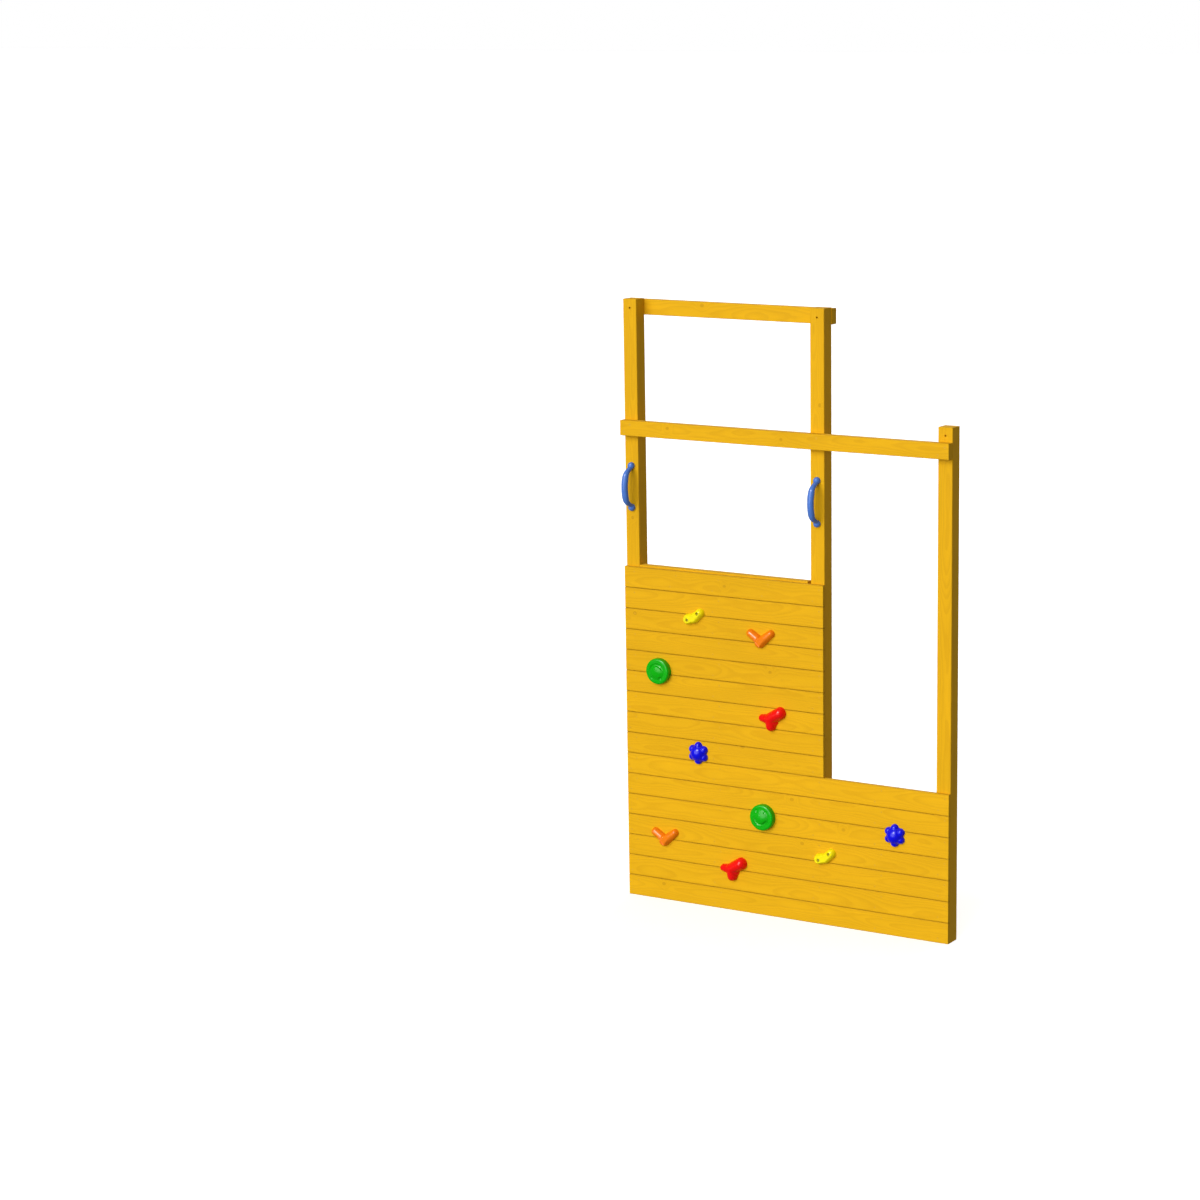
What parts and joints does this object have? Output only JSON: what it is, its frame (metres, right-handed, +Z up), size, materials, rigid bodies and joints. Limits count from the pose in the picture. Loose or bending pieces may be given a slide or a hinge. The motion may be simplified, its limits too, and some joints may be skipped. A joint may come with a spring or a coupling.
{
  "type": "rock climbing wall",
  "caption": "L-shaped climbing wall of horizontal boards on square posts, with coloured plastic holds, a guard rail, a tie beam and bow-shaped grab handles.",
  "frame": {"origin": "ground level, at the centre of the wall's width and of its overall depth", "axes": "+X along the wall towards its low end, to the right as seen by a climber; +Y from the climbing face back towards the tower; +Z up"},
  "size_m": [1.62, 0.182, 2.71],
  "materials": {
    "board_wood": "planed softwood with a golden yellow stain",
    "post_wood": "planed softwood with a golden yellow stain",
    "rail_wood": "planed softwood with a golden yellow stain",
    "frame_wood": "planed softwood, hidden side",
    "zinc_screw": "yellow zinc plated steel",
    "zinc_steel": "zinc plated steel",
    "yellow_plastic": "satin moulded plastic",
    "orange_plastic": "satin moulded plastic",
    "green_plastic": "satin moulded plastic",
    "red_plastic": "satin moulded plastic",
    "blue_plastic": "satin moulded plastic",
    "handle_plastic": "smooth moulded plastic"
  },
  "bodies": {
    "root": {"board_01": "board_wood", "board_02": "board_wood", "board_03": "board_wood", "board_04": "board_wood", "board_05": "board_wood", "board_06": "board_wood", "board_07": "board_wood", "board_08": "board_wood", "board_09": "board_wood", "board_10": "board_wood", "board_11": "board_wood", "board_12": "board_wood", "board_13": "board_wood", "board_14": "board_wood", "board_15": "board_wood", "board_16": "board_wood", "post_left": "post_wood", "post_middle": "post_wood", "post_right": "post_wood", "guard_rail": "rail_wood", "tie_beam": "rail_wood", "deck_beam": "frame_wood", "batten_left": "frame_wood", "batten_right": "frame_wood", "board_screws_left": "zinc_screw", "board_screws_middle": "zinc_screw", "board_screws_right": "zinc_screw", "board_screws_battens": "zinc_screw", "rail_screws": "zinc_screw", "tie_screws": "zinc_screw", "bracket_left": "zinc_steel", "bracket_right": "zinc_steel", "bracket_screws": "zinc_screw", "hold_yellow_upper": "yellow_plastic", "hold_yellow_lower": "yellow_plastic", "hold_orange_upper": "orange_plastic", "hold_orange_lower": "orange_plastic", "hold_green_upper": "green_plastic", "hold_green_lower": "green_plastic", "hold_red_upper": "red_plastic", "hold_red_lower": "red_plastic", "hold_blue_left": "blue_plastic", "hold_blue_right": "blue_plastic", "hold_plugs_orange": "orange_plastic", "hold_plugs_green": "green_plastic", "hold_plugs_red": "red_plastic", "hold_plugs_blue": "blue_plastic", "hold_bolts": "zinc_steel", "hold_tnuts": "zinc_steel", "hold_post_screw": "zinc_steel", "handle_left": "handle_plastic", "handle_right": "handle_plastic", "handle_screws": "zinc_steel", "handle_caps": "handle_plastic"}
  },
  "joints": []
}
